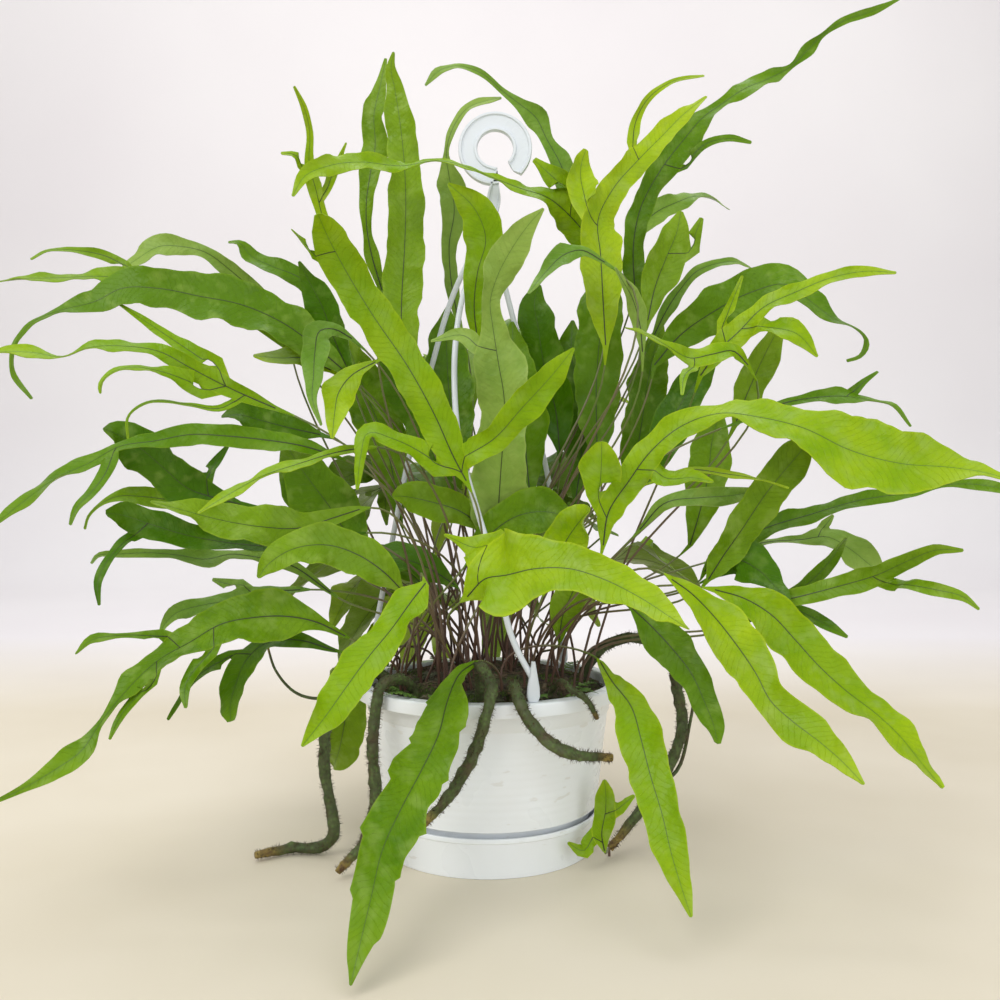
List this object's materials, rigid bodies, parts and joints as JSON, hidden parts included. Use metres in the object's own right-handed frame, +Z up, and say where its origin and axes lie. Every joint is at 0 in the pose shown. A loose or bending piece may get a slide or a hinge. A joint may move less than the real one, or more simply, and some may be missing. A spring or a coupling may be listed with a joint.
{
  "type": "potted fern in a hanging basket",
  "caption": "Bushy fern with wavy, lobed strap fronds that arch out of a round ribbed hanging pot with a clip-on saucer, three strands and an open hook.",
  "frame": {"origin": "centre of the saucer's flat underside, which the pot stands on", "axes": "+Z up along the pot's axis; -Y towards the viewer's side of the picture; +X to that viewer's right"},
  "size_m": [0.7057, 0.4531, 0.6695],
  "materials": {
    "white_plastic": "smooth white moulded plastic",
    "potting_soil": "rough, fibrous and moist",
    "rhizome": "bristly and scaly",
    "frond_young": "soft sheen, yellow-green",
    "frond_leaf": "soft sheen, mid green",
    "frond_deep": "soft sheen, dark green",
    "frond_pale": "matt, grey-green underside"
  },
  "bodies": {
    "root": {"frond_across": "frond_young", "frond_arched_left": "frond_leaf", "frond_arched_right": "frond_pale", "frond_blunt_low": "frond_leaf", "frond_blunt_low_left": "frond_deep", "frond_blunt_right": "frond_leaf", "frond_bright_paw_right": "frond_young", "frond_bright_upright": "frond_young", "frond_broad_left": "frond_deep", "frond_broad_right": "frond_deep", "frond_centre_dark": "frond_deep", "frond_centre_grey": "frond_pale", "frond_centre_left_mid": "frond_leaf", "frond_crested": "frond_young", "frond_dark_low_left": "frond_deep", "frond_dark_low_right": "frond_deep", "frond_forked_right": "frond_leaf", "frond_front_centre": "frond_young", "frond_grey_arch": "frond_pale", "frond_grey_curled": "frond_pale", "frond_hanging_pale": "frond_pale", "frond_inner_left": "frond_deep", "frond_left_band": "frond_leaf", "frond_left_paw": "frond_young", "frond_long_dark_left": "frond_deep", "frond_long_left": "frond_leaf", "frond_long_top_right": "frond_leaf", "frond_low_right": "frond_young", "frond_low_right_a": "frond_young", "frond_lowest": "frond_leaf", "frond_pale_hang_top": "frond_pale", "frond_pale_low_left": "frond_pale", "frond_paw_front": "frond_young", "frond_paw_right": "frond_young", "frond_rear_low_a": "frond_leaf", "frond_rear_low_b": "frond_young", "frond_rear_low_c": "frond_leaf", "frond_rear_low_d": "frond_young", "frond_rear_mid_b": "frond_deep", "frond_rear_mid_c": "frond_leaf", "frond_rear_top_a": "frond_leaf", "frond_rear_top_b": "frond_young", "frond_strap_fork_right": "frond_pale", "frond_tailed_left": "frond_leaf", "frond_tall": "frond_leaf", "frond_thin_arch": "frond_pale", "frond_thin_right": "frond_young", "frond_upright_right": "frond_leaf", "hanger": "white_plastic", "pot": "white_plastic", "rhizome_front": "rhizome", "rhizome_front_right": "rhizome", "rhizome_hook": "rhizome", "rhizome_left": "rhizome", "rhizome_low_left": "rhizome", "rhizome_right": "rhizome", "runner_frond": "frond_young", "saucer": "white_plastic", "soil": "potting_soil"}
  },
  "joints": []
}
